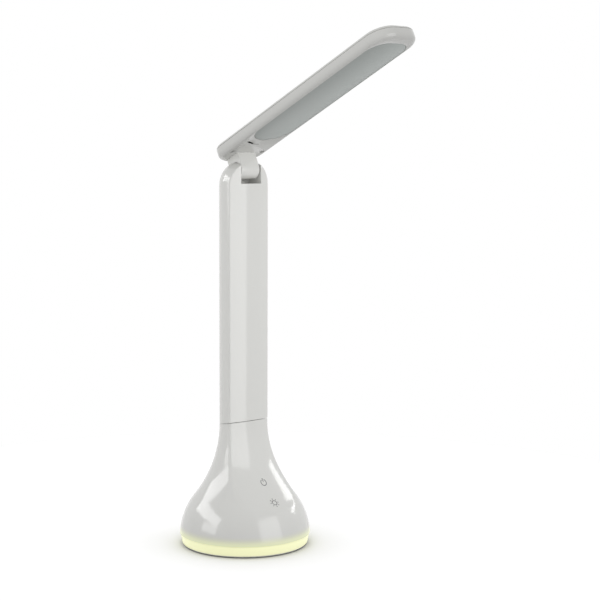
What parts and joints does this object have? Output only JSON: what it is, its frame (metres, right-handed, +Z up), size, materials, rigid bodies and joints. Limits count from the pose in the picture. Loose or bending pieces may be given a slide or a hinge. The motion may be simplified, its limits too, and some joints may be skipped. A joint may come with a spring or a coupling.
{
  "type": "folding desk lamp",
  "caption": "Folding desk lamp with a glowing ring under a bell base, a round post with a flattened front and a long flat light head that folds down on a friction hinge.",
  "frame": {"origin": "centre of the anti-slip pad, on the surface the lamp stands on", "axes": "+Z up along the post, -Y to the front, where the head reaches out and folds down, +X to the right seen from behind, along the hinge pin"},
  "size_m": [0.1004, 0.2161, 0.3855],
  "materials": {
    "gloss_white": "polished moulded ABS",
    "glow_ring": "milky translucent, lit from inside",
    "white_inner": "moulded",
    "pad_rubber": "soft foam rubber",
    "screw_steel": "zinc plated",
    "screw_dark": "blackened",
    "ballast_steel": "bare stamped steel",
    "cell_sleeve": "blue shrink sleeve",
    "circuit_green": "solder mask",
    "circuit_white": "white solder mask",
    "black_parts": "moulded component bodies",
    "socket_steel": "stamped shell",
    "contact_brass": "plain",
    "led_warm": "phosphor",
    "led_cool": "phosphor",
    "lead_sleeve": "flat twin lead",
    "pin_steel": "ground",
    "washer_dark": "acetal",
    "frosted_panel": "frosted acrylic, unlit"
  },
  "bodies": {
    "stand": {"base_bell": "gloss_white", "light_ring": "glow_ring", "bottom_cover": "white_inner", "foot_pad": "pad_rubber", "cover_screws": "screw_steel", "ballast": "ballast_steel", "battery_cell": "cell_sleeve", "battery_cradle": "white_inner", "control_board": "circuit_green", "board_parts": "black_parts", "board_screws": "screw_steel", "charge_socket": "socket_steel", "touch_board": "circuit_green", "touch_contacts": "contact_brass", "touch_screws": "screw_steel", "ring_board": "circuit_white", "ring_leds_set": "led_warm", "post_shell": "gloss_white", "post_cover": "gloss_white", "neck_screws": "screw_steel", "twin_lead": "lead_sleeve", "hinge_pin": "pin_steel", "friction_washers": "washer_dark"},
    "head": {"hinge_knuckle": "gloss_white", "hinge_bush": "contact_brass", "knuckle_screws": "screw_steel", "head_tray": "gloss_white", "head_cover": "gloss_white", "head_screws": "screw_dark", "diffuser": "frosted_panel", "led_board": "circuit_white", "head_leds": "led_cool", "led_screws": "screw_steel"}
  },
  "joints": [
    {"name": "head_fold", "type": "hinge", "parent": "stand", "child": "head", "pos_m": [0, 0, 0.2873], "axis": [1, 0, 0], "range_deg": [-18, 115]}
  ]
}
